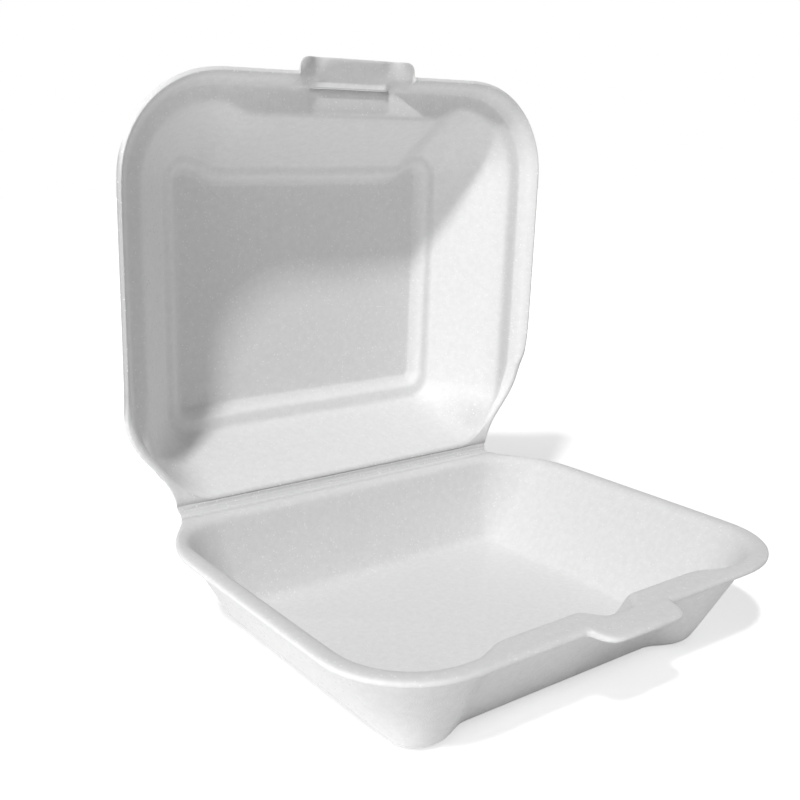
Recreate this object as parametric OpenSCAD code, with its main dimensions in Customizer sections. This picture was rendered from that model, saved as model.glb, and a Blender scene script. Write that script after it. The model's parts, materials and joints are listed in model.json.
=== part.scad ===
// Hinged foam food box: a tray and a lid moulded from one foam sheet and joined by a crushed fold.
// Units are millimetres, +Z is up, and the origin is on the ground under the middle of the tray's rim.

/* [Tray] */
// Width of the tray over its rim
rim_w = 200; // [166:1:240]
// Depth of the tray from its front rim to the hinge line
rim_d = 167; // [139:1:201]
// Height of the rim above the ground
tray_h = 40.5; // [33.5:0.5:49]
// Radius of the rim's front corners
rim_r = 34.5; // [28.5:0.5:38]
// Distance from the hinge line at which the rim's back corners begin
rim_back = 46; // [42:1:52]
// Flat width of the rim
rim_flat = 4.5; // [3.5:0.1:6]
// Lean of the side walls from upright, in degrees
side_lean = 31; // [26:1:33]
// Lean of the front wall from upright, in degrees
front_lean = 27; // [22:1:32]
// Lean of the back wall from upright, in degrees
back_lean = 15; // [10:1:20]

/* [Lid] */
// Clearance between the rim's edge and the lid's skirt at the sides
skirt_clear = 0.5; // [0.4:0.1:1.5]
// Reach of the lid's skirt beyond the front of the rim
skirt_front = 8.5; // [7.5:0.1:11]
// How far the skirt's edge hangs below the rim when the lid is shut
skirt_drop = 3.6; // [2.5:0.1:4.5]
// How far in front of the rim's back corners the skirt begins to run out
skirt_out = 3; // [1:0.5:8]
// Inside depth of the lid from the hinge plane to the top panel
lid_depth = 40.5; // [34:0.5:48.5]
// Height of the step round the top panel
panel_step = 5.5; // [4.5:0.5:7]
// Flat width of the ledge at the front and sides of the top panel
panel_ledge = 1; // [0.5:0.1:2]
// Radius of the skirt's front corners beyond that of the rim's
skirt_round = 7.5; // [5:0.5:10]
// Angle of the lid from shut, in degrees
open_angle = 88; // [0:1:175]

/* [Foam] */
// Thickness of the tray's foam
foam_t = 2.5; // [2:0.1:3]
// Thickness of the lid's foam, which is drawn out further than the tray's
lid_t = 2.2; // [1.8:0.1:2.6]
// Thickness of the crushed foam at the hinge line
hinge_t = 0.9; // [0.6:0.1:1.2]
// Length of the hinge line
hinge_w = 164; // [130:1:166]
// Half of the free gap between tray and lid at the hinge line
hinge_gap = 0.15; // [0.1:0.05:0.3]

/* [Front] */
// How far the middle of the front is set back from its corners
set_back = 5; // [3:0.5:7]
// Width of the part that is set back
set_back_w = 90; // [76:1:96]
// Width of the curve at each end of that part
jog_w = 15; // [10:1:18]
// Width of the tray's latch tab
tab_w = 38; // [31:1:46]
// Reach of the latch tab beyond the rim
tab_len = 9.5; // [7.5:0.5:11.5]
// Clearance at each end of the slit that the tab goes through
tab_clear = 0.5; // [0.3:0.1:1]
// Width of the thumb scoop at the root of the tab
scoop_w = 28; // [22:1:32]
// Reach of the thumb scoop into the rim
scoop_reach = 7.5; // [4:0.5:8]
// Width of the latch flap beyond each end of the slit
flap_side = 8; // [7:0.5:11]
// Reach of the latch flap beyond the tab
flap_over = 3.7; // [2.5:0.1:6]
// Gap of the slit
slit_gap = 0.4; // [0.3:0.1:0.8]

/* [Hidden] */

foam_white = [0.94, 0.94, 0.93];

hinge_y = rim_d / 2;
slit_half = tab_w / 2 + tab_clear;

function mix(a, b, t) = a + (b - a) * t;
function ease(t) = let (u = min(1, max(0, t))) u * u * (3 - 2 * u);
function last(list) = list[len(list) - 1];
function share(list, i) = list[min(i, len(list) - 1)];

// Sections
// A section is a list of stations [inset from the outline, height, slope], from the edge to the middle.
// The slope is in degrees and positive where the surface falls towards the middle.

// Convex bend of radius r from the flat at [o, z] down to a wall of the given slope
function bend(o, z, r, slope, steps) = [
    for (i = [0 : steps])
        let (a = slope * i / steps)
        [o + r * sin(a), z - r * (1 - cos(a)), a]
];

// Straight wall below a station, at the given heights
function wall(top, heights) = [for (z = heights) [top[0] + (top[1] - z) / tan(top[2]), z, top[2]]];

// Concave fillet of radius r from the wall below a station to the flat at height z
function fillet(top, z, r, steps) =
    let (
        slope = top[2],
        start = wall(top, [z + r * (1 - cos(slope))])[0],
        o_end = start[0] + r * sin(slope)
    )
    [for (i = [0 : steps]) let (a = slope * (1 - i / steps)) [o_end - r * sin(a), z + r * (1 - cos(a)), a]];

// Outer face of a section: each station moved by its thickness square to the surface
function outer(section, thick) = [
    for (i = [0 : len(section) - 1])
        let (s = section[i])
        [s[0] - thick[i] * sin(s[2]), s[1] - thick[i] * cos(s[2]), s[2]]
];

// Thickness at each of n stations: from the edge's own to full over the given number of stations
function thickness(n, edge, full, steps) = [for (i = [0 : n - 1]) mix(edge, full, min(1, i / steps))];

// Rings
// Tongue on the front edge, [across, forward]: a round corner of radius r, then a fillet at its root
tongue_steps = 4;

function tongue(half, reach, r, root) =
    let (turns = [for (i = [0 : tongue_steps]) 90 * i / tongue_steps])
    concat(
        [for (a = turns) [half - r * (1 - sin(a)), reach - r * (1 - cos(a))]],
        [for (i = [1 : tongue_steps]) [half + root * (1 - cos(turns[i])), root * (1 - sin(turns[i]))]]
    );

// Half of a ring, from the middle of the front round the right side to the middle of the back.
//   st     stations of this ring in the [side, front, back] sections
//   plan   [half width, front, corner radius] of the outline that the stations are inset from
//   hind   back corner: [where it starts, where it ends across, end handle across, end handle along, taper]
//   nose   front middle: [set back, scoop, share of the tongue, drop of the channel]
//   tip    points of the tongue
//   inner  places across the front, from the middle to the tongue's first point
jog_in = set_back_w / 2;
jog_steps = 6;
jog_gap = 0.5;
corner_steps = 8;
side_shares = [0.33, 0.67];
hind_steps = 10;
hind_handle = 0.55;
back_shares = [0.66, 0.33, 0];
scoop_core = 0.2 * scoop_w;
scoop_flank = scoop_w / 2 - scoop_core;
channel_flank = 2.5;

function half_ring(st, plan, hind, nose, tip, inner) =
    let (
        side = st[0],
        front = st[1],
        back = st[2],
        a = plan[0] - side[0],
        r = plan[2],
        y_front = front[0] - plan[1],
        y_back = -back[0],
        jog_end = min(jog_in + jog_w, a - r - jog_gap),
        n_tip = len(tip) - 1,
        x_root = last(tip)[0],
        inward = function (x) nose[0] * (1 - ease((x - jog_in) / (jog_end - jog_in))),
        scooped = function (x) nose[1] * (1 - ease((x - scoop_core) / scoop_flank)),
        lowered = function (x) nose[3] * (1 - ease((x - slit_half) / channel_flank)),
        forward = function (x, reach) y_front + inward(x) - scooped(x) - nose[2] * reach,
        at = function (x, reach) [x, forward(x, reach), front[1] - lowered(x)],
        p0 = [a, -hind[0]],
        p1 = [a, mix(-hind[0], y_back, hind_handle)],
        p2 = [mix(hind[1], a, hind[2]), mix(y_back, -hind[0], hind[3])],
        p3 = [hind[1], y_back]
    )
    concat(
        [for (x = inner) at(x, tip[0][1])],
        [for (i = [0 : n_tip]) at(mix(mix(tip[0][0], x_root, i / n_tip), tip[i][0], nose[2]), tip[i][1])],
        [at((x_root + jog_in) / 2, 0)],
        [for (i = [0 : jog_steps]) at(mix(jog_in, jog_end, i / jog_steps), 0)],
        [for (i = [0 : corner_steps])
            let (t = 90 * i / corner_steps)
            [a - r * (1 - sin(t)), y_front + r * (1 - cos(t)), mix(front[1], side[1], pow(sin(t), 2))]],
        [for (u = side_shares) [a, mix(y_front + r, -hind[0], u), side[1]]],
        [for (i = [0 : hind_steps])
            let (
                t = i / hind_steps,
                s = 1 - t,
                p = s * s * s * p0 + 3 * s * s * t * p1 + 3 * s * t * t * p2 + t * t * t * p3
            )
            [p[0], p[1], mix(side[1], back[1], ease(t / hind[4]))]],
        [for (u = back_shares) [hind[1] * u, y_back, back[1]]]
    );

// Whole ring from its right half
function ring(half) = concat(
    half,
    [for (i = [len(half) - 2 : -1 : 1]) [-half[i][0], half[i][1], half[i][2]]]
);

// Closed sheet through the rings of its outer face, middle first, and those of its inner face, edge first.
// Its flat floor fans out from a point middle_y in front of the hinge line.
// A slit, where slit = [station, points], goes through both faces between that station and the next,
// across the given number of points on each side of the front's middle.
module sheet(outer_rings, inner_rings, middle_y, slit) {
    rings = concat(outer_rings, inner_rings);
    n = len(rings[0]);
    half = n / 2;
    top = (len(rings) - 1) * n;
    under = (len(outer_rings) - 1 - slit[0]) * n;
    over = (len(outer_rings) + slit[0]) * n;
    cut = function (k, i) (k * n == under - n || k * n == over) && (i < slit[1] || i >= n - slit[1]);
    bands = [
        for (k = [0 : len(rings) - 2], i = [0 : n - 1])
            let (p = k * n + i, q = k * n + (i + 1) % n)
            each (
                cut(k, i) ? []
                : i < half ? [[p, p + n, q + n], [p, q + n, q]]
                : [[p, p + n, q], [q, p + n, q + n]]
            )
    ];
    slit_sides = [
        for (d = [0 : 1 : 2 * slit[1] - 1])
            let (i = (n - slit[1] + d) % n, j = (i + 1) % n)
            each [
                [over + n + i, over + n + j, under - n + j, under - n + i],
                [over + j, over + i, under + i, under + j]
            ]
    ];
    a = n - slit[1];
    b = slit[1];
    slit_ends = slit[1] == 0 ? [] : [
        [over + a, over + n + a, under - n + a, under + a],
        [over + n + b, over + b, under + b, under - n + b]
    ];
    under_middle = len(rings) * n;
    over_middle = under_middle + 1;
    floors = [
        for (i = [0 : n - 1])
            let (j = (i + 1) % n)
            each [[i, j, under_middle], [top + j, top + i, over_middle]]
    ];
    middles = [for (r = [rings[0], last(rings)]) [0, -middle_y, r[0][2]]];
    polyhedron(
        points = concat([for (r = rings) each r], middles),
        faces = concat(bands, slit_sides, slit_ends, floors),
        convexity = 8
    );
}

// Tray

edge_droop = 0.6;
edge_slope = -14;
crown_droop = 0.1;
crown_slope = -5;
hinge_drop = 0.4;
rim_bend = 5;
floor_fillet = 6;
back_flat = 6.5;
back_crease = 4;
back_bend = 4;
scoop_fade = [-7, -10, -13];
tab_corner = 6;
tab_root = 2.5;
front_shrink = 0.85;
back_r = 31;
back_shrink = 0.8;
tray_handle = [0.14, 0.26];
tab_places = [0, 0.2, 0.4, 0.55, 0.7, 0.82, 0.92];

function tray_body(o, z, r, lean) =
    let (top = bend(o, z, r, 90 - lean, 3), foot = last(top))
    concat(top, wall(foot, scoop_fade), fillet(foot, foam_t - tray_h, floor_fillet, 4));

function tray_rim(lean) = concat(
    [[0, -edge_droop, edge_slope], [rim_flat / 2, -crown_droop, crown_slope]],
    tray_body(rim_flat, 0, rim_bend, lean)
);

function tray_back() = concat(
    [[hinge_gap, -hinge_gap, 0], [back_crease, -hinge_drop, 0]],
    tray_body(back_flat, -hinge_drop, back_bend, back_lean)
);

// Share of each feature at the stations, from the edge to the floor
tray_set_back = [0, 0, 1];
tray_scoop = [0, 0.35, 1, 1, 1, 1, 0.65, 0.3, 0];
tray_tongue = [1, 0.7, 0];
tray_hinge = [1, 0.6, 0];

function tray_ring(st, i) =
    let (
        o = st[0][0],
        a = rim_w / 2 - o,
        r = back_r - back_shrink * o,
        h = share(tray_hinge, i)
    )
    ring(half_ring(
        st,
        [rim_w / 2, rim_d, rim_r - front_shrink * o],
        [
            mix(st[2][0] + r, rim_back, h),
            mix(a - r, hinge_w / 2 - o, h),
            mix(hind_handle, tray_handle[0], h),
            mix(0, tray_handle[1], h),
            1
        ],
        [set_back * share(tray_set_back, i), scoop_reach * share(tray_scoop, i), share(tray_tongue, i), 0],
        tongue(tab_w / 2, tab_len, tab_corner, tab_root),
        [for (u = tab_places) u * (tab_w / 2 - tab_corner)]
    ));

module tray_shell() {
    side = tray_rim(side_lean);
    front = tray_rim(front_lean);
    back = tray_back();
    n = len(side);
    side_out = outer(side, thickness(n, foam_t, foam_t, 1));
    front_out = outer(front, thickness(n, foam_t, foam_t, 1));
    back_out = outer(back, thickness(n, hinge_t, foam_t, 2));
    sheet(
        [for (i = [n - 1 : -1 : 0]) tray_ring([side_out[i], front_out[i], back_out[i]], i)],
        [for (i = [0 : n - 1]) tray_ring([side[i], front[i], back[i]], i)],
        rim_d / 2,
        [0, 0]
    );
}

module tray() {
    color(foam_white) translate([0, hinge_y, tray_h]) tray_shell();
}

// Lid
// It is laid out open and flat, with its inside up, and then turned about the hinge line.

skirt_in = 2.1;
skirt_run = 4.2;
skirt_lip = 0.3;
skirt_slope = 60;
crease_in = 7.2;
crease_z = 4.3;
crease_slope = 10;
ledge_in = 10.6;
ledge_fall = 0.2;
lid_bend = 4.5;
lid_side_lean = 35;
lid_front_lean = 35;
lid_back_lean = 25;
lid_back_flat = 3.6;
lid_back_shares = [0.3, 0.5, 0.7, 0.85];
least_bend = lid_t + 0.5;
lid_fillet = 3;
back_ledge = 3;
panel_lean = 40;
panel_r = 2;
flap_level = 1.9;
channel_rise = 1.8;
channel_fall = [2.8, 0.3];
flank_shares = [0.5, 1];
flap_corner = 4;
flap_root = 2;
lid_shrink = [0.82, 0.95];
lid_back_r = 30;
lid_back_shrink = 0.84;
lid_handle = [0.1, 0.45];
slit_station = 3;
slit_places = [0, 0.35, 0.7, 0.85, 1];
lid_half = rim_w / 2 + skirt_clear + skirt_run;
lid_reach = rim_d + skirt_front;
lid_r = rim_r + skirt_round;
skirt_back = rim_back + skirt_out;
flap_len = tab_len + flap_over - skirt_front + skirt_in - skirt_lip;

function lid_body(o, z, r, lean, ledge) =
    let (
        top = bend(o, z, r, 90 - lean, 3),
        base = fillet(last(top), panel_step - lid_depth, lid_fillet, 3),
        brink = bend(last(base)[0] + ledge, last(base)[1], least_bend, 90 - panel_lean, 2)
    )
    concat(top, base, brink, fillet(last(brink), -lid_depth, least_bend, 2));

function lid_rim(lean) = concat(
    [
        [skirt_in - skirt_lip, skirt_drop + skirt_lip / 2, skirt_slope / 2],
        [skirt_in + skirt_lip, skirt_drop - skirt_lip, skirt_slope],
        [skirt_run, 0, skirt_slope],
        [crease_in - slit_gap, mix(-crease_z, 0, slit_gap / (crease_in - skirt_run)), skirt_slope],
        [crease_in, -crease_z, crease_slope]
    ],
    lid_body(ledge_in, -crease_z - ledge_fall, lid_bend, lean, panel_ledge)
);

function lid_back() = concat(
    [[hinge_gap, -hinge_drop, 0]],
    [for (u = lid_back_shares) [u * lid_back_flat, -hinge_drop, 0]],
    lid_body(lid_back_flat, -hinge_drop, least_bend, lid_back_lean, back_ledge)
);

// Share of each feature at the stations, from the skirt's edge to the panel
lid_set_back = [0, 0, 0, 0, 0, 1];
lid_tongue = [1, 0];
lid_channel = concat([skirt_drop - flap_level, skirt_drop + channel_rise], channel_fall, [0]);
lid_hinge = [1, 1, 1, 0.9, 0.8, 0];
lid_taper = [0.1, 0.1, 0.2, 1];

function lid_ring(st, i) =
    let (
        o = st[0][0],
        a = lid_half - o,
        below = max(0, o - ledge_in),
        front_r = lid_r - lid_shrink[0] * (o - below) - lid_shrink[1] * below,
        r = max(panel_r, lid_back_r - lid_back_shrink * (o - ledge_in)),
        h = share(lid_hinge, i)
    )
    ring(half_ring(
        st,
        [lid_half, lid_reach, max(panel_r, front_r)],
        [
            mix(st[2][0] + r, skirt_back, h),
            mix(a - r, hinge_w / 2 - lid_handle[1] * st[2][0], h),
            mix(hind_handle, lid_handle[0], h),
            mix(0, lid_handle[1], h),
            share(lid_taper, i)
        ],
        [set_back * share(lid_set_back, i), 0, share(lid_tongue, i), share(lid_channel, i)],
        tongue(slit_half + flap_side, flap_len, flap_corner, flap_root),
        concat(
            [for (u = slit_places) u * slit_half],
            [for (u = flank_shares) slit_half + u * channel_flank]
        )
    ));

module lid_shell() {
    side = lid_rim(lid_side_lean);
    front = lid_rim(lid_front_lean);
    back = lid_back();
    n = len(side);
    side_out = outer(side, thickness(n, lid_t, lid_t, 1));
    front_out = outer(front, thickness(n, lid_t, lid_t, 1));
    back_out = outer(back, thickness(n, hinge_t, lid_t, 3));
    sheet(
        [for (i = [n - 1 : -1 : 0]) lid_ring([side_out[i], front_out[i], back_out[i]], i)],
        [for (i = [0 : n - 1]) lid_ring([side[i], front[i], back[i]], i)],
        lid_reach / 2,
        [slit_station, len(slit_places) - 1]
    );
}

module lid() {
    color(foam_white)
        translate([0, hinge_y, tray_h])
            rotate([180 - open_angle, 0, 0])
                rotate([0, 0, 180])
                    lid_shell();
}

tray();
lid();
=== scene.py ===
import json
import logging
import math
from dataclasses import dataclass, field
from enum import Enum
from typing import Callable

import bmesh
import bpy
from mathutils import Matrix, Vector


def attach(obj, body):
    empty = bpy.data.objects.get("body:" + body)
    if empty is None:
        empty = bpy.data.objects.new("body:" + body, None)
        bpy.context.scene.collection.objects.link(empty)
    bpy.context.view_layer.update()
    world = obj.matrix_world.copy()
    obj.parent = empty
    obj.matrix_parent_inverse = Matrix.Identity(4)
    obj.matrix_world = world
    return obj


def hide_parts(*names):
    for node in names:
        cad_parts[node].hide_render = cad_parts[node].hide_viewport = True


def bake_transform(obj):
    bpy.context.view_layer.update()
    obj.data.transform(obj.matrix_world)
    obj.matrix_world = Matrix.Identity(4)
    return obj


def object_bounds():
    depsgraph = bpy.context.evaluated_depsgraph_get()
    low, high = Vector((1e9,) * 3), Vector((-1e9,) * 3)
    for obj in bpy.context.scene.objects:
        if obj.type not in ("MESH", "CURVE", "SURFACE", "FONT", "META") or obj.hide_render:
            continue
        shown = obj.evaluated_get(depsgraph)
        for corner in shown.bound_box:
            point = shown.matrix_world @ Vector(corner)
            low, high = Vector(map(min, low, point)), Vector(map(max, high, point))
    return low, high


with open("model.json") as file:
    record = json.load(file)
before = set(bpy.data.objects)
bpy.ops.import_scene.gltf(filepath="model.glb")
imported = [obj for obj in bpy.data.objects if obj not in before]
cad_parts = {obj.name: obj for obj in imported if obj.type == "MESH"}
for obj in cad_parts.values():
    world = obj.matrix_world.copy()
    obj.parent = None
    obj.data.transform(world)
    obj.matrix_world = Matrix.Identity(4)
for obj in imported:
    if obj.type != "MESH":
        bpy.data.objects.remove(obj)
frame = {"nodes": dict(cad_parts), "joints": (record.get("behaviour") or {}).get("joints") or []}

CAD_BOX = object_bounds()
MM = 0.001
LOG = logging.getLogger("foam_box")


class Body(Enum):
    """The two halves of the box, named as in the frame."""

    TRAY = "tray"
    LID = "lid"


@dataclass(frozen=True)
class SmoothStep:
    """A smooth change from 0 at one place to 1 at another.

    Attributes:
        zero: where the step is 0.
        one: where the step is 1, on either side of zero.
    """

    zero: float
    one: float

    def at(self, value: float) -> float:
        """Return the step's share at a value, from 0 to 1."""
        t = min(1.0, max(0.0, (value - self.zero) / (self.one - self.zero)))
        return t * t * (3 - 2 * t)


@dataclass(frozen=True)
class HingeLine:
    """The fold between tray and lid, taken from the frame's joint.

    Attributes:
        origin: a point on the fold, in metres.
        open_angle: how far the lid stands open from shut, in radians.
    """

    origin: Vector
    open_angle: float

    @classmethod
    def from_frame(cls) -> "HingeLine":
        """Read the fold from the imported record's only joint."""
        joint = frame["joints"][0]
        return cls(Vector(joint["pos_m"]), -math.radians(joint["range_deg"][0]))

    @property
    def lid_reach(self) -> Vector:
        """Direction from the fold to the lid's front edge."""
        return Vector((0, -math.cos(self.open_angle), math.sin(self.open_angle)))

    @property
    def lid_inward(self) -> Vector:
        """Direction out of the lid's open mouth, towards the tray when shut."""
        return Vector((0, -math.sin(self.open_angle), -math.cos(self.open_angle)))

    @property
    def across(self) -> Vector:
        """Direction across the fold, from the tray's flat to the lid's."""
        return (self.lid_reach + Vector((0, 1, 0))).normalized()

    @property
    def outward(self) -> Vector:
        """Direction from the fold away from the inside of the box."""
        return (Vector((0, 1, 0)) - self.lid_reach).normalized()

    def along(self, body: Body, point: Vector) -> float:
        """Distance of a point from the fold, measured along the flat of one half.

        Args:
            body: the half whose flat is used.
            point: a point in the rest pose.

        Returns:
            The distance in metres, positive away from the fold.
        """
        offset = point - self.origin
        return -offset.y if body is Body.TRAY else offset.dot(self.lid_reach)

    def above(self, body: Body, point: Vector) -> float:
        """Height of a point over the flat of one half, positive on its inner side."""
        offset = point - self.origin
        return offset.z if body is Body.TRAY else offset.dot(self.lid_inward)


class NodeTree:
    """A small helper that adds and links shader nodes."""

    def __init__(self, tree: bpy.types.NodeTree) -> None:
        """Keep the tree that nodes are added to."""
        self.tree = tree

    def add(self, kind: str, settings: dict | None = None, **inputs: object) -> bpy.types.Node:
        """Add a node, set its properties and fill or link its inputs.

        Args:
            kind: the node's type without the ShaderNode prefix.
            settings: properties to set on the node.
            **inputs: values or output sockets, by input name with _ for spaces, or by i and its number.

        Returns:
            The new node.
        """
        node = self.tree.nodes.new(kind if kind.startswith("Node") else "ShaderNode" + kind)
        for name, value in (settings or {}).items():
            setattr(node, name, value)
        for name, value in inputs.items():
            key = int(name[1:]) if name[0] == "i" and name[1:].isdigit() else name.replace("_", " ")
            if isinstance(value, bpy.types.NodeSocket):
                self.tree.links.new(value, node.inputs[key])
            else:
                node.inputs[key].default_value = value
        return node

    def math(self, operation: str, *values: object, clamp: bool = False) -> bpy.types.NodeSocket:
        """Add a Math node and return its output.

        Args:
            operation: the node's operation.
            *values: numbers or sockets for its inputs in order.
            clamp: whether the result is kept between 0 and 1.

        Returns:
            The result's socket.
        """
        inputs = {f"i{n}": value for n, value in enumerate(values)}
        return self.add("Math", {"operation": operation, "use_clamp": clamp}, **inputs).outputs[0]

    def mix(self, share: object, first: object, second: object, blend: str = "MIX") -> bpy.types.NodeSocket:
        """Mix two colours by a share.

        Args:
            share: a number or socket, 0 for the first colour.
            first: a colour or socket.
            second: a colour or socket.
            blend: how the second colour acts on the first.

        Returns:
            The result's socket.
        """
        settings = {"data_type": "RGBA", "blend_type": blend}
        return self.add("Mix", settings, i0=share, i6=first, i7=second).outputs[2]

    def rescale(
        self,
        value: bpy.types.NodeSocket,
        source: tuple[float, float] = (0.0, 1.0),
        target: tuple[float, float] = (0.0, 1.0),
        smooth: bool = False,
    ) -> bpy.types.NodeSocket:
        """Map a value from one range to another, held at the range's ends.

        Args:
            value: the socket to map.
            source: the range that the value is taken from.
            target: the range that it is mapped to.
            smooth: whether the change eases in and out.

        Returns:
            The result's socket.
        """
        settings = {"interpolation_type": "SMOOTHSTEP" if smooth else "LINEAR"}
        limits = {"From_Min": source[0], "From_Max": source[1], "To_Min": target[0], "To_Max": target[1]}
        return self.add("MapRange", settings, Value=value, **limits).outputs["Result"]


@dataclass(frozen=True)
class BeadPattern:
    """The fine closed cells of extruded foam, as a shader node group.

    Attributes:
        cell: width of one cell, in metres.
        glint: share of the cells that get a painted glint.
        full_glint: share of those that do so fully.
        mottle_scale: scale of the slow mottle, per metre.
    """

    cell: float = 0.5 * MM
    glint: float = 0.03
    full_glint: float = 1 / 3
    mottle_scale: float = 420.0

    NAME = "foam_cells"

    def group(self) -> bpy.types.NodeTree:
        """Return the node group, built on its first use."""
        known = bpy.data.node_groups.get(self.NAME)
        return known or self.build()

    def build(self) -> bpy.types.NodeTree:
        """Build the group that gives a cell height, a mask for painted glints and a slow mottle.

        Returns:
            The shader node group.
        """
        group = bpy.data.node_groups.new(self.NAME, "ShaderNodeTree")
        tree = NodeTree(group)
        place = tree.add("TexCoord").outputs["Object"]
        cells = tree.add("TexVoronoi", {"feature": "F1"}, Vector=place, Scale=1 / self.cell)
        lottery = tree.add("TexWhiteNoise", {"noise_dimensions": "3D"}, Vector=cells.outputs["Position"])
        winners = (1 - self.glint, 1 - self.glint * self.full_glint)
        results = {
            "Height": tree.math("SUBTRACT", 1.0, cells.outputs["Distance"], clamp=True),
            "Glint": tree.rescale(lottery.outputs["Value"], winners, smooth=True),
            "Mottle": tree.add("TexNoise", Vector=place, Scale=self.mottle_scale).outputs["Fac"],
        }
        for name in results:
            group.interface.new_socket(name, in_out="OUTPUT", socket_type="NodeSocketFloat")
        tree.add("NodeGroupOutput", **results)
        return group


@dataclass(frozen=True)
class FoamFinish:
    """White extruded foam, painted greyer and duller where its foam is pressed and where painted shade lies,
    with painted glints on some cells.

    Attributes:
        name: the material's name.
        puffed: colour of the full-thickness foam.
        crushed_and_shaded: colour that the darkening paint reaches, both for foam pressed thin at rims and
            folds and for painted shade.
        glint: lighter colour painted on the cells that catch the light, a painted glint.
        mottle_range: the middle of the mottle, which is mapped to its tint.
        mottle_tint: darkest and lightest tint of the mottle.
        dulling: share of the painted glints that the darkening paint takes away.
        roughness: roughness of the foam and of its glints.
        bump: depth of the cells, in metres.
        bump_strength: strength of the cells' bump.
        specular: strength of the mirror reflection.
    """

    name: str = "white_foam"
    puffed: tuple[float, float, float] = (0.86, 0.86, 0.86)
    crushed_and_shaded: tuple[float, float, float] = (0.45, 0.45, 0.45)
    glint: tuple[float, float, float] = (0.97, 0.97, 0.97)
    mottle_range: tuple[float, float] = (0.3, 0.7)
    mottle_tint: tuple[float, float] = (0.975, 1.025)
    dulling: float = 0.7
    roughness: tuple[float, float] = (0.62, 0.22)
    bump: float = 0.10 * MM
    bump_strength: float = 0.55
    specular: float = 0.4

    def material(self) -> bpy.types.Material:
        """Build the material.

        Returns:
            The finished material.
        """
        material = bpy.data.materials.new(self.name)
        material.use_nodes = True
        tree = NodeTree(material.node_tree)
        cells = tree.add("Group", {"node_tree": BeadPattern().group()}).outputs
        # The crush attribute darkens the colour towards the dark grey, both for pressed foam and for painted
        # shade.
        crush_and_shade = tree.add("Attribute", {"attribute_name": FoamSheet.CRUSH_AND_SHADE}).outputs["Fac"]
        tone = tree.mix(crush_and_shade, (*self.puffed, 1), (*self.crushed_and_shaded, 1))
        tint = tree.rescale(cells["Mottle"], self.mottle_range, self.mottle_tint)
        tone = tree.mix(1.0, tone, tint, "MULTIPLY")
        clear = tree.math("SUBTRACT", 1.0, tree.math("MULTIPLY", crush_and_shade, self.dulling))
        shine = tree.math("MULTIPLY", cells["Glint"], clear)
        bump = tree.add("Bump", Strength=self.bump_strength, Distance=self.bump, Height=cells["Height"])
        shader = material.node_tree.nodes["Principled BSDF"]
        shader.inputs["Specular IOR Level"].default_value = self.specular
        links = material.node_tree.links
        # The glinting cells get a lighter base colour, a painted glint, and a lower roughness.
        links.new(tree.mix(shine, tone, (*self.glint, 1)), shader.inputs["Base Color"])
        links.new(tree.rescale(shine, target=self.roughness), shader.inputs["Roughness"])
        links.new(bump.outputs["Normal"], shader.inputs["Normal"])
        return material


def mesh_piece(
    name: str,
    mesh: bmesh.types.BMesh,
    finish: bpy.types.Material,
    levels: int,
    crush_and_shade_at: Callable[[Vector], float],
) -> bpy.types.Object:
    """Make a smooth object from a bmesh and paint its darkening, for pressed foam and for painted shade.

    Args:
        name: the piece's name.
        mesh: the shape, which is freed.
        finish: the material.
        levels: levels of subdivision.
        crush_and_shade_at: gives the painted darkening at a point, from 0 to 1.

    Returns:
        The new object, linked to the scene.
    """
    for face in mesh.faces:
        face.smooth = True
    data = bpy.data.meshes.new(name)
    mesh.to_mesh(data)
    mesh.free()
    # The crush attribute holds a painted darkening: partly foam pressed at rims and folds, partly painted
    # shade.
    crush_and_shade = data.attributes.new(FoamSheet.CRUSH_AND_SHADE, "FLOAT", "POINT")
    crush_and_shade.data.foreach_set("value", [crush_and_shade_at(v.co) for v in data.vertices])
    data.materials.append(finish)
    piece = bpy.data.objects.new(name, data)
    bpy.context.scene.collection.objects.link(piece)
    soften = piece.modifiers.new("soften", "SUBSURF")
    soften.levels = levels
    soften.render_levels = levels
    return piece


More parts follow.
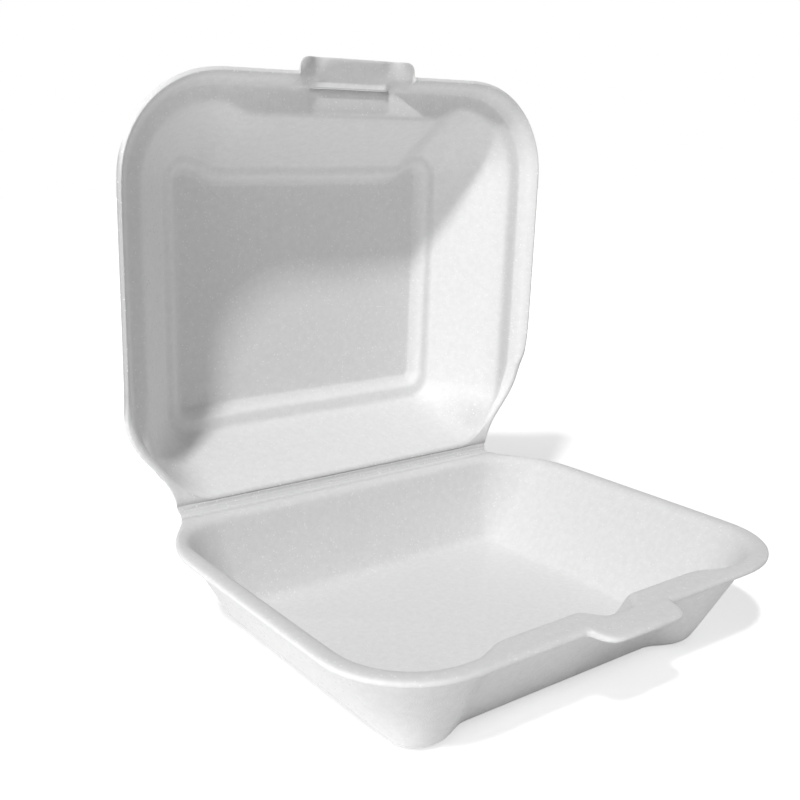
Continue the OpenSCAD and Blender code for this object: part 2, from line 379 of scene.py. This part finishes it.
@dataclass
class FoamSheet:
    """One half of the moulded sheet, as a smooth skin over its frame node.

    Attributes:
        hinge: the fold that both halves meet at.
        body: which half this is.
        trim: how much of the flat next to the fold is left to the fold's own piece, in metres.
        crease: where a crease runs along the flat, measured from the fold, in metres.
        crease_half: half of that crease's width, in metres.
        crease_depth: depth of that crease, in metres.
        flat_height: how far from the fold's level the flat's points lie, in metres.
        flat_reach: the same for all corners of a face that is cut, in metres.
        levels: levels of subdivision.
        mesh: the skin while it is being built.
    """

    hinge: HingeLine
    body: Body = Body.TRAY
    trim: float = 1.3 * MM
    crease: float = 4.0 * MM
    crease_half: float = 0.8 * MM
    crease_depth: float = 0.3 * MM
    flat_height: float = 0.8 * MM
    flat_reach: float = 1.2 * MM
    levels: int = 2
    mesh: bmesh.types.BMesh = field(init=False, repr=False)

    # Name of the painted darkening attribute, for pressed foam and for painted shade.
    CRUSH_AND_SHADE = "crush_and_shade"
    WELD = 0.001 * MM
    ON_LINE = 0.01 * MM
    QUAD_ANGLE = math.radians(50)

    def build(self) -> None:
        """Copy the frame node, join its triangles and cut it at the fold."""
        self.mesh = bmesh.new()
        self.mesh.from_mesh(frame["nodes"][self.body.value].data)
        bmesh.ops.remove_doubles(self.mesh, verts=self.mesh.verts, dist=self.WELD)
        bmesh.ops.join_triangles(
            self.mesh,
            faces=self.mesh.faces,
            angle_face_threshold=self.QUAD_ANGLE,
            angle_shape_threshold=math.pi,
        )
        self.cut_at_fold()
        self.press_crease()

    def along(self, point: Vector) -> float:
        """Distance of a point from the fold along this half's flat, in metres."""
        return self.hinge.along(self.body, point)

    def above(self, point: Vector) -> float:
        """Height of a point over this half's flat, in metres."""
        return self.hinge.above(self.body, point)

    def plane(self, distance: float) -> dict[str, Vector]:
        """Return a point and the normal of the plane at a distance from the fold."""
        normal = Vector((0, -1, 0)) if self.body is Body.TRAY else self.hinge.lid_reach
        return {"plane_co": self.hinge.origin + normal * distance, "plane_no": normal}

    def cut_at_fold(self) -> None:
        """Take off the flat next to the fold, which belongs to the fold's own piece."""
        geometry = self.mesh.verts[:] + self.mesh.edges[:] + self.mesh.faces[:]
        cut = self.plane(self.trim)
        bmesh.ops.bisect_plane(self.mesh, geom=geometry, dist=self.WELD, clear_inner=True, **cut)

    def press_crease(self) -> None:
        """Press a crease into the flat along the fold."""
        for offset in (-self.crease_half, 0.0, self.crease_half):
            place = self.crease + offset
            near = [f for f in self.mesh.faces if self.crosses(f, place)]
            geometry = list({v for f in near for v in f.verts} | {e for f in near for e in f.edges}) + near
            bmesh.ops.bisect_plane(self.mesh, geom=geometry, dist=self.WELD, **self.plane(place))
        down = Vector((0, 0, -1)) if self.body is Body.TRAY else -self.hinge.lid_inward
        line = [
            v
            for v in self.mesh.verts
            if abs(self.along(v.co) - self.crease) < self.ON_LINE and abs(self.above(v.co)) < self.flat_height
        ]
        bmesh.ops.translate(self.mesh, verts=line, vec=down * self.crease_depth)

    def crosses(self, face: bmesh.types.BMFace, distance: float) -> bool:
        """Tell whether a face of the flat lies across a distance from the fold.

        Args:
            face: a face of the skin.
            distance: the distance along the flat, in metres.

        Returns:
            Whether the face is in the flat and has corners on both sides of the distance.
        """
        spans = [self.along(v.co) - distance for v in face.verts]
        heights = [abs(self.above(v.co)) for v in face.verts]
        return min(spans) < 0 < max(spans) and max(heights) < self.flat_reach

    def crush_and_shade_at(self, point: Vector) -> float:
        """How much darkening is painted at a point, from 0 to 1, for pressed foam and for painted shade, to
        match the photograph's tones.
        """
        raise NotImplementedError

    def dress(self, name: str, finish: bpy.types.Material) -> bpy.types.Object:
        """Turn the skin into a finished piece.

        Args:
            name: the piece's name.
            finish: its material.

        Returns:
            The new object.
        """
        piece = mesh_piece(name, self.mesh, finish, self.levels, self.crush_and_shade_at)
        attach(piece, self.body.value)
        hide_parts(self.body.value)
        return piece


@dataclass
class TraySkin(FoamSheet):
    """The tray's skin, painted darker at its rim for pressed foam and painted shade, with painted shade in
    its crease and on its back wall.

    Attributes:
        rim_height: where the rim begins, by height.
        groove_width: where the crease's groove ends, by distance from the crease.
        back_along: where the back wall ends, by distance from the fold.
        rim_crush_and_shade: darkening of the rim, partly pressed foam and partly painted shade.
        groove_shade: painted shade that the crease's groove adds to the rim.
        back_shade: painted shade on the back wall.
    """

    body: Body = Body.TRAY
    rim_height: SmoothStep = SmoothStep(-4 * MM, -0.5 * MM)
    groove_width: SmoothStep = SmoothStep(1.2 * MM, 0.3 * MM)
    back_along: SmoothStep = SmoothStep(28 * MM, 21 * MM)
    # The rim's darkening is partly pressed foam and partly painted shade.
    rim_crush_and_shade: float = 0.14
    # Painted shade in the crease's groove.
    groove_shade: float = 0.27
    # Painted shade on the back wall.
    back_shade: float = 0.15

    def crush_and_shade_at(self, point: Vector) -> float:
        """Blend the rim's darkening and its groove's painted shade into the painted shade of the back wall
        below.

        Args:
            point: a point in the rest pose.

        Returns:
            The painted darkening, from 0 to 1.
        """
        along = self.along(point)
        rim = self.rim_height.at(self.above(point))
        darkening = self.rim_crush_and_shade + self.groove_shade * self.groove_width.at(abs(along - self.crease))
        return darkening * rim + self.back_shade * self.back_along.at(along) * (1 - rim)


@dataclass(frozen=True)
class RimPressAndShade:
    """Where the lid's skirt is painted darker, by height above the flat and distance from the middle: painted
    shade in the gutter and on the edge's outer face, pressed foam and painted shade on the lip.

    Attributes:
        gutter_floor: where the gutter inside the skirt begins, by height.
        gutter_top: where it ends, by height.
        edge_height: where the skirt's edge begins, by height.
        edge_side: where the edge's outer face begins, by distance from the middle.
        lip_height: where the skirt's lip begins, by height.
        gutter_shade: painted shade in the gutter.
        lip_crush_and_shade: darkening of the lip, partly pressed foam and partly painted shade; the edge's
            outer face gets full painted shade.
    """

    gutter_floor: SmoothStep = SmoothStep(-6 * MM, -5 * MM)
    gutter_top: SmoothStep = SmoothStep(-2.5 * MM, -3.8 * MM)
    edge_height: SmoothStep = SmoothStep(0.0, 2.0 * MM)
    edge_side: SmoothStep = SmoothStep(102.2 * MM, 103.2 * MM)
    lip_height: SmoothStep = SmoothStep(1.0 * MM, 3.0 * MM)
    # Painted shade in the gutter; the lip's darkening is partly pressed foam and partly painted shade.
    gutter_shade: float = 0.14
    lip_crush_and_shade: float = 0.2

    def at(self, height: float, side: float) -> float:
        """Return the skirt's painted darkening.

        Args:
            height: height above the lid's flat, in metres.
            side: distance from the lid's middle, in metres.

        Returns:
            The painted darkening, from 0 up.
        """
        gutter = self.gutter_shade * self.gutter_floor.at(height) * self.gutter_top.at(height)
        # The edge's outer face gets full painted shade.
        edge = self.edge_height.at(height) * self.edge_side.at(side)
        return gutter + max(edge, self.lip_crush_and_shade * self.lip_height.at(height))


@dataclass(frozen=True)
class LatchShade:
    """Where painted shade lies on the lid's latch: the ledge below the slit, and the flap above it.

    Attributes:
        ledge_near: where the ledge begins, by distance below the slit.
        ledge_far: where it ends, by distance below the slit.
        ledge_height: where its inner face begins, by height.
        ledge_side: where it ends, by distance from the lid's middle.
        flap_root: where the flap begins, by distance above the slit.
        flap_side: where it ends, by distance past the slit's end.
        flank_width: where the flap's flank ends, by distance from the flank's middle.
        ledge_shade: painted shade on the ledge.
        flap_shade: painted shade on the flap.
        flank_shade: painted shade that the flank adds to the flap.
    """

    ledge_near: SmoothStep = SmoothStep(0.3 * MM, 1.5 * MM)
    ledge_far: SmoothStep = SmoothStep(10 * MM, 8 * MM)
    ledge_height: SmoothStep = SmoothStep(-7 * MM, -5 * MM)
    ledge_side: SmoothStep = SmoothStep(22 * MM, 17 * MM)
    flap_root: SmoothStep = SmoothStep(0.8 * MM, 3 * MM)
    flap_side: SmoothStep = SmoothStep(11 * MM, 8 * MM)
    flank_width: SmoothStep = SmoothStep(6 * MM, 1 * MM)
    # Painted shade on the ledge below the slit, on the flap and on its flanks.
    ledge_shade: float = 0.4
    flap_shade: float = 0.17
    flank_shade: float = 0.2

    def ledge(self, height: float, below: float, side: float) -> float:
        """Return the ledge's painted shade at a height, a distance below the slit and one from the middle."""
        length = self.ledge_near.at(below) * self.ledge_far.at(below)
        return self.ledge_shade * length * self.ledge_height.at(height) * self.ledge_side.at(side)

    def flap(self, beyond: float, past: float, flank: float) -> float:
        """Return the flap's painted shade.

        Args:
            beyond: distance above the slit, in metres.
            past: distance past the slit's end, in metres.
            flank: distance from the flank's middle, in metres.

        Returns:
            The painted shade, from 0 to 1.
        """
        darkening = self.flap_shade + self.flank_shade * self.flank_width.at(flank)
        return darkening * self.flap_root.at(beyond) * self.flap_side.at(past)


@dataclass(frozen=True)
class WallShade:
    """Where painted shade lies on the lid's walls and panel.

    Attributes:
        groove_width: where the groove at the fold ends, by distance from the crease.
        panel_height: where the panel begins, by height.
        back_along: where the back wall ends, by distance from the fold.
        back_height: where the back wall begins, by height.
        groove_shade: painted shade in the groove.
        panel_shade: painted shade on the panel.
        back_shade: painted shade on the back wall.
    """

    groove_width: SmoothStep = SmoothStep(2.2 * MM, 0.6 * MM)
    panel_height: SmoothStep = SmoothStep(-38 * MM, -39.5 * MM)
    back_along: SmoothStep = SmoothStep(24 * MM, 17 * MM)
    back_height: SmoothStep = SmoothStep(-1.5 * MM, -4 * MM)
    # Painted shade in the groove, on the panel and on the back wall.
    groove_shade: float = 0.4
    panel_shade: float = 0.17
    back_shade: float = 0.22

    def at(self, height: float, along: float, crease: float) -> float:
        """Return the painted shade of walls and panel.

        Args:
            height: height above the lid's flat, in metres.
            along: distance from the fold, in metres.
            crease: the crease's distance from the fold, in metres.

        Returns:
            The painted shade, from 0 up.
        """
        groove = self.groove_shade * self.groove_width.at(abs(along - crease))
        panel = self.panel_shade * self.panel_height.at(height)
        return groove + panel + self.back_shade * self.back_along.at(along) * self.back_height.at(height)


@dataclass
class LidSkin(FoamSheet):
    """The lid's skin, with the latch slit in its front.

    Attributes:
        slit_at: distance of the slit from the fold, in metres.
        slit_half: half of the slit's length, in metres.
        slit_near: how far from the slit its lips reach, in metres.
        slit_slack: how far past the slit's ends its corners may lie, in metres.
        inner_height: height that the slit's inner lips lie above, in metres.
        lip_end: how much of each lip's end stays down, in metres.
        lip_rise: how far the slit's lower and upper lip stand up, in metres.
        flap: length of the flap from the slit to its free edge, in metres.
        flap_ease: length at the flap's free end over which the spreading fades, in metres.
        flap_root: where the spreading begins, by distance above the slit.
        flank: width of the flap's flank in the frame node, in metres.
        flank_spread: width that the flank is spread to, in metres.
        flank_reach: how far beside the slit the spreading ends, in metres.
        relax_from: how far above the slit the flank is relaxed, in metres.
        relax_rounds: how often the flank is relaxed.
        relax_share: how far each round goes.
        rim_press_and_shade: the skirt's painted darkening, pressed foam and painted shade.
        latch_shade: the latch's painted shade.
        wall_shade: the painted shade of walls and panel.
    """

    body: Body = Body.LID
    crease: float = 3.2 * MM
    crease_depth: float = 1.1 * MM
    slit_at: float = 168.5 * MM
    slit_half: float = 19.5 * MM
    slit_near: float = 0.6 * MM
    slit_slack: float = 0.1 * MM
    inner_height: float = -5 * MM
    lip_end: float = 1.0 * MM
    lip_rise: tuple[float, float] = (0.5 * MM, 1.8 * MM)
    flap: float = 12.8 * MM
    flap_ease: float = 3 * MM
    flap_root: SmoothStep = SmoothStep(0.8 * MM, 3 * MM)
    flank: float = 2.5 * MM
    flank_spread: float = 6.5 * MM
    flank_reach: float = 8.5 * MM
    relax_from: float = 2 * MM
    relax_rounds: int = 4
    relax_share: float = 0.5
    rim_press_and_shade: RimPressAndShade = RimPressAndShade()
    latch_shade: LatchShade = LatchShade()
    wall_shade: WallShade = WallShade()

    LIP_CORNERS = 2

    def build(self) -> None:
        """Build the skin, then sharpen the slit and ease the flap's ends."""
        super().build()
        self.sharpen_slit()
        self.spread_flanks()
        self.relax_flanks()

    def in_slit(self, vertex: bmesh.types.BMVert) -> bool:
        """Tell whether a vertex is on one of the slit's lips, on the inner face.

        Args:
            vertex: a vertex of the skin.

        Returns:
            Whether it is near the slit, between its ends and on the inner side.
        """
        near = abs(self.along(vertex.co) - self.slit_at) < self.slit_near
        across = abs(vertex.co.x) < self.slit_half + self.slit_slack
        return near and across and self.above(vertex.co) > self.inner_height

    def sharpen_slit(self) -> None:
        """Keep the slit's lips crisp, raise the lower one into a small bead and curl the upper one in."""
        sharp = self.mesh.edges.layers.float.new("crease_edge")
        for face in self.mesh.faces:
            if sum(self.in_slit(v) for v in face.verts) >= self.LIP_CORNERS:
                for edge in face.edges:
                    edge[sharp] = 1.0
        middle = self.slit_half - self.lip_end
        lips = [v for v in self.mesh.verts if self.in_slit(v) and abs(v.co.x) < middle]
        for upper, rise in enumerate(self.lip_rise):
            lip = [v for v in lips if (self.along(v.co) > self.slit_at) == bool(upper)]
            bmesh.ops.translate(self.mesh, verts=lip, vec=self.hinge.lid_inward * rise)

    def spread_flanks(self) -> None:
        """Spread the flap's two flanks outwards, so that they fall off gently beside the latch tab."""
        free_end = SmoothStep(self.flap - self.flap_ease, self.flap)
        for vertex in self.mesh.verts:
            past = abs(vertex.co.x) - self.slit_half
            if 0 < past < self.flank_reach:
                beyond = self.along(vertex.co) - self.slit_at
                share = self.flap_root.at(beyond) - free_end.at(beyond)
                vertex.co.x += math.copysign(share * (self.spread(past) - past), vertex.co.x)

    def spread(self, past: float) -> float:
        """Tell where a point past the slit's end goes when the flank is spread.

        Args:
            past: the point's distance past the slit's end, in metres.

        Returns:
            Its distance past the slit's end afterwards, in metres.
        """
        if past < self.flank:
            return past * self.flank_spread / self.flank
        rest = (past - self.flank) / (self.flank_reach - self.flank)
        return self.flank_spread + rest * (self.flank_reach - self.flank_spread)

    def relax_flanks(self) -> None:
        """Smooth the flanks' depth."""
        foot = self.slit_half + self.flank
        reach = self.flank_reach - self.flank
        start = self.slit_at + self.relax_from
        ends = [v for v in self.mesh.verts if abs(abs(v.co.x) - foot) < reach and self.along(v.co) > start]
        for _ in range(self.relax_rounds):
            bmesh.ops.smooth_vert(self.mesh, verts=ends, factor=self.relax_share, use_axis_y=True)

    def crush_and_shade_at(self, point: Vector) -> float:
        """Add up the darkening painted on the skirt, the latch and the walls, for pressed foam and painted
        shade.

        Args:
            point: a point in the rest pose.

        Returns:
            The painted darkening, from 0 to 1.
        """
        height = self.above(point)
        along = self.along(point)
        side = abs(point.x)
        beyond = along - self.slit_at
        past = side - self.slit_half
        crush_and_shade = self.rim_press_and_shade.at(height, side) + self.wall_shade.at(height, along, self.crease)
        crush_and_shade += self.latch_shade.ledge(height, -beyond, side)
        crush_and_shade += self.latch_shade.flap(beyond, past, abs(past - self.flank_spread / 2))
        return min(1.0, crush_and_shade)


@dataclass
class FoldWeb:
    """The crushed web between tray and lid.

    Attributes:
        hinge: the fold's line.
        cuts: rows of vertices across the web.
        middle_half: how far from the fold the middle row's points lie, in metres.
        pinch: depth of the fold's own crease, in metres.
        notch: depth of the notch at each end of the fold, in metres.
        notch_reach: how far from the end the notch reaches, in metres.
        crush_and_shade: darkening painted over the whole web, partly its pressed foam and partly painted
            shade in the fold.
        levels: levels of subdivision.
        mesh: the web while it is being built.
    """

    hinge: HingeLine
    cuts: int = 3
    middle_half: float = 0.2 * MM
    pinch: float = 0.35 * MM
    notch: float = 0.8 * MM
    notch_reach: float = 0.5 * MM
    # Darkening of the web, partly pressed foam and partly painted shade in the fold.
    crush_and_shade: float = 0.34
    levels: int = 2
    mesh: bmesh.types.BMesh = field(init=False, repr=False)

    def build(self, tray: TraySkin, lid: LidSkin) -> None:
        """Bridge the open edges of the two skins and keep only the bridge.

        Args:
            tray: the built tray skin.
            lid: the built lid skin.
        """
        self.mesh = bmesh.new()
        for skin in (tray, lid):
            scratch = bpy.data.meshes.new("scratch")
            skin.mesh.to_mesh(scratch)
            self.mesh.from_mesh(scratch)
            bpy.data.meshes.remove(scratch)
        sheet_faces = self.mesh.faces[:]
        rims = [e for e in self.mesh.edges if e.is_boundary]
        bridge = bmesh.ops.bridge_loops(self.mesh, edges=rims)
        across = [e for e in bridge["edges"] if not e.is_boundary]
        bmesh.ops.delete(self.mesh, geom=sheet_faces, context="FACES")
        across = [e for e in across if e.is_valid]
        bmesh.ops.subdivide_edges(self.mesh, edges=across, cuts=self.cuts, use_grid_fill=False)
        self.pinch_fold()

    def pinch_fold(self) -> None:
        """Press the fold's own crease into the middle row, and notch its two ends."""
        middle = [v for v in self.mesh.verts if self.in_middle(v)]
        bmesh.ops.translate(self.mesh, verts=middle, vec=self.hinge.outward * self.pinch)
        end = max(v.co.x for v in middle)
        for side in (-1, 1):
            tips = [v for v in middle if v.co.x * side > end - self.notch_reach]
            bmesh.ops.translate(self.mesh, verts=tips, vec=Vector((-side * self.notch, 0, 0)))

    def in_middle(self, vertex: bmesh.types.BMVert) -> bool:
        """Tell whether a vertex is in the web's middle row."""
        return abs((vertex.co - self.hinge.origin).dot(self.hinge.across)) < self.middle_half

    def crush_and_shade_at(self, point: Vector) -> float:
        """The web is painted evenly darker, partly for its pressed foam and partly as painted shade in the
        fold.
        """
        return self.crush_and_shade

    def dress(self, name: str, finish: bpy.types.Material, reach: float) -> bpy.types.Object:
        """Turn the web into a finished piece between the two halves.

        Args:
            name: the piece's name.
            finish: its material.
            reach: how far the web reaches from the fold on each side, in metres; not used.

        Returns:
            The new object.
        """
        piece = mesh_piece(name, self.mesh, finish, self.levels, self.crush_and_shade_at)
        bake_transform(piece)
        return piece


@dataclass(frozen=True)
class Studio:
    """Floor, light and camera.

    Attributes:
        camera_at: the camera's place, in metres.
        azimuth: direction of view from +Y towards +X, in degrees.
        pitch: downward tilt of the view, in degrees.
        roll: turn of the camera about its view, in degrees.
        lens: focal length, in millimetres.
        sensor: width of the camera's sensor, in millimetres.
        clip_start: nearest distance that the camera sees, in metres.
        to_light: direction from the box to the main light.
        light_distance: distance of the main light, in metres.
        light_size: width of the main light, in metres.
        light_power: power of the main light, in watts.
        card_at: place of the low card, in metres.
        card_size: length and height of the card, in metres.
        card_power: power of the card, in watts.
        ambient: strength of the light from all round.
        floor_size: width of the floor, in metres.
        floor_tone: reflectance of the floor.
        floor_roughness: roughness of the floor.
        glow: the floor's own brightness to the camera, near the box and far from it.
        fade: distances from the box between which that brightness changes, in metres.
    """

    camera_at: Vector = Vector((-0.2464, -0.2855, 0.1889))
    azimuth: float = 36.73
    pitch: float = 14.08
    roll: float = 0.79
    lens: float = 46.37
    sensor: float = 36.0
    clip_start: float = 0.01
    to_light: Vector = Vector((-0.53, -0.38, 0.75))
    light_distance: float = 4.0
    light_size: float = 0.36
    light_power: float = 103.0
    card_at: Vector = Vector((-0.8, -0.05, 0.03))
    card_size: tuple[float, float] = (0.9, 0.06)
    card_power: float = 2.4
    ambient: float = 0.21
    floor_size: float = 6.0
    floor_tone: tuple[float, float, float, float] = (0.9, 0.9, 0.9, 1)
    floor_roughness: float = 0.9
    glow: tuple[float, float] = (0.55, 1.0)
    fade: tuple[float, float] = (0.25, 0.7)

    WHITE = (1, 1, 1, 1)

    def build(self) -> None:
        """Make the floor, the lights and the camera."""
        self.floor()
        self.world()
        self.key_light()
        self.card_light()
        self.camera()

    def floor(self) -> None:
        """Make the pale floor."""
        mesh = bmesh.new()
        bmesh.ops.create_grid(mesh, x_segments=1, y_segments=1, size=self.floor_size / 2)
        data = bpy.data.meshes.new("floor")
        mesh.to_mesh(data)
        mesh.free()
        data.materials.append(self.floor_finish())
        floor = bpy.data.objects.new("floor", data)
        bpy.context.scene.collection.objects.link(floor)

    def floor_finish(self) -> bpy.types.Material:
        """Build the floor's material, which shows white to the camera and keeps the shadow.

        Returns:
            The finished material.
        """
        material = bpy.data.materials.new("pale_floor")
        material.use_nodes = True
        tree = NodeTree(material.node_tree)
        shader = material.node_tree.nodes["Principled BSDF"]
        shader.inputs["Base Color"].default_value = self.floor_tone
        shader.inputs["Roughness"].default_value = self.floor_roughness
        shader.inputs["Specular IOR Level"].default_value = 0.0
        seen = tree.add("LightPath").outputs["Is Camera Ray"]
        place = tree.add("TexCoord").outputs["Object"]
        distance = tree.add("VectorMath", {"operation": "LENGTH"}, i0=place).outputs["Value"]
        strength = tree.math("MULTIPLY", seen, tree.rescale(distance, self.fade, self.glow))
        light = tree.add("Emission", Color=self.WHITE, Strength=strength)
        both = tree.add("AddShader", i0=shader.outputs["BSDF"], i1=light.outputs["Emission"])
        output = material.node_tree.nodes["Material Output"]
        material.node_tree.links.new(both.outputs["Shader"], output.inputs["Surface"])
        return material

    def world(self) -> None:
        """Make a white backdrop that lights the box softly."""
        world = bpy.data.worlds.new("studio")
        bpy.context.scene.world = world
        world.use_nodes = True
        tree = NodeTree(world.node_tree)
        rays = tree.add("LightPath").outputs
        seen = tree.math("MAXIMUM", rays["Is Camera Ray"], rays["Is Glossy Ray"])
        seen = tree.math("MAXIMUM", seen, rays["Is Transmission Ray"])
        strength = tree.rescale(seen, target=(self.ambient, 1.0))
        background = world.node_tree.nodes["Background"]
        background.inputs["Color"].default_value = self.WHITE
        world.node_tree.links.new(strength, background.inputs["Strength"])

    def key_light(self) -> None:
        """Make the main light, above and in front on the left."""
        target = sum((Vector(c) for c in CAD_BOX), Vector()) / 2
        lamp = self.lamp("key", target + self.to_light.normalized() * self.light_distance, target)
        lamp.shape = "DISK"
        lamp.size = self.light_size
        lamp.energy = self.light_power

    def card_light(self) -> None:
        """Make the low card on the left that lights the tray's outside."""
        lamp = self.lamp("card", self.card_at, Vector((0, self.card_at.y, self.card_at.z)))
        lamp.shape = "RECTANGLE"
        lamp.size, lamp.size_y = self.card_size
        lamp.energy = self.card_power

    @staticmethod
    def lamp(name: str, place: Vector, target: Vector) -> bpy.types.AreaLight:
        """Add an area light that the camera doesn't see.

        Args:
            name: the light's name.
            place: where it is, in metres.
            target: the point that it faces.

        Returns:
            The light's data.
        """
        lamp = bpy.data.lights.new(name, "AREA")
        light = bpy.data.objects.new(name, lamp)
        bpy.context.scene.collection.objects.link(light)
        light.location = place
        light.rotation_euler = (target - place).to_track_quat("-Z", "Y").to_euler()
        light.visible_camera = False
        return lamp

    def camera(self) -> None:
        """Set the camera at the photograph's viewing angle, for a square frame."""
        azimuth, pitch, roll = (math.radians(a) for a in (self.azimuth, self.pitch, self.roll))
        forward = Vector(
            (math.sin(azimuth) * math.cos(pitch), math.cos(azimuth) * math.cos(pitch), -math.sin(pitch))
        )
        level = Vector((math.cos(azimuth), -math.sin(azimuth), 0))
        upright = level.cross(forward)
        right = math.cos(roll) * level + math.sin(roll) * upright
        up = math.cos(roll) * upright - math.sin(roll) * level
        data = bpy.data.cameras.new("camera")
        data.lens = self.lens
        data.sensor_width = self.sensor
        data.clip_start = self.clip_start
        camera = bpy.data.objects.new("camera", data)
        bpy.context.scene.collection.objects.link(camera)
        turn = Matrix((right, up, -forward)).transposed().to_4x4()
        camera.matrix_world = Matrix.Translation(self.camera_at) @ turn
        bpy.context.scene.camera = camera


def main() -> None:
    """Build the studio and the pieces in order, and report each one."""
    logging.basicConfig(level=logging.INFO, format="%(message)s")
    bpy.context.scene.view_settings.view_transform = "Standard"
    Studio().build()
    hinge = HingeLine.from_frame()
    finish = FoamFinish().material()
    tray = TraySkin(hinge=hinge)
    lid = LidSkin(hinge=hinge)
    fold = FoldWeb(hinge=hinge)
    tray.build()
    lid.build()
    fold.build(tray, lid)
    pieces = [
        tray.dress("tray_skin", finish),
        lid.dress("lid_skin", finish),
        fold.dress("fold_web", finish, tray.trim),
    ]
    for piece in pieces:
        LOG.info("%s: %d faces before smoothing", piece.name, len(piece.data.polygons))


if __name__ == "__main__":
    main()
